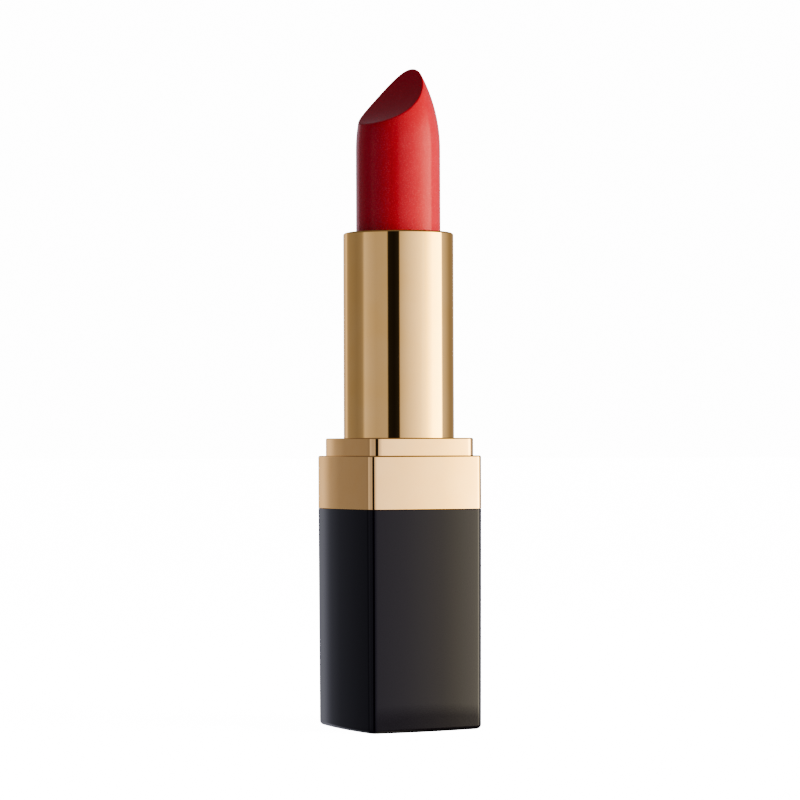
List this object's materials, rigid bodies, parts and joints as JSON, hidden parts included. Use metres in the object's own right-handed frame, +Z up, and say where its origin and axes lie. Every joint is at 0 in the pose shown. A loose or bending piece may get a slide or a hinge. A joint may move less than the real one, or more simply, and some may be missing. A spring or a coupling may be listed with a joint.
{
  "type": "lipstick case",
  "caption": "Twist-up lipstick: a square smoked base with bowed sides, a gold band and step, a round gold tube and a slant-cut red bullet raised out of it.",
  "frame": {"origin": "centre of the base's underside", "axes": "+Z up along the twist axis, -Y out of the front face, +X to the right of it"},
  "size_m": [0.019, 0.019, 0.0946],
  "materials": {
    "smoked_plastic": "high gloss, smoked black",
    "gilt_plastic": "gold metallised, mirror gloss",
    "gold_aluminium": "polished, gold anodised",
    "nylon": "as moulded, natural",
    "silicone": "matt",
    "steel": "tumbled, zinc plated",
    "foam": "matt",
    "label_film": "satin film, blank",
    "red_wax": "satin wax"
  },
  "bodies": {
    "base": {"outer_base_shell": "smoked_plastic", "decor_band": "gilt_plastic", "inner_base": "gilt_plastic", "weight_pad": "foam", "base_weight": "steel", "shade_label": "label_film", "slotted_tube": "nylon", "lower_brake_ring": "silicone", "upper_brake_ring": "silicone"},
    "twist_tube": {"outer_tube": "gold_aluminium", "spiral_sleeve": "nylon"},
    "bullet_carrier": {"bullet_cup": "nylon", "lipstick_bullet": "red_wax"}
  },
  "joints": [
    {"name": "tube_twist", "type": "hinge", "parent": "base", "child": "twist_tube", "pos_m": [0, 0, 0.034], "axis": [0, 0, 1], "range_deg": [0, 450]},
    {"name": "bullet_lift", "type": "slide", "parent": "base", "child": "bullet_carrier", "axis": [0, 0, 1], "range_m": [-0.025, 0]}
  ],
  "couplings": [
    {"joint": "tube_twist", "follows": "bullet_lift", "rad_per_m": -314.16}
  ]
}
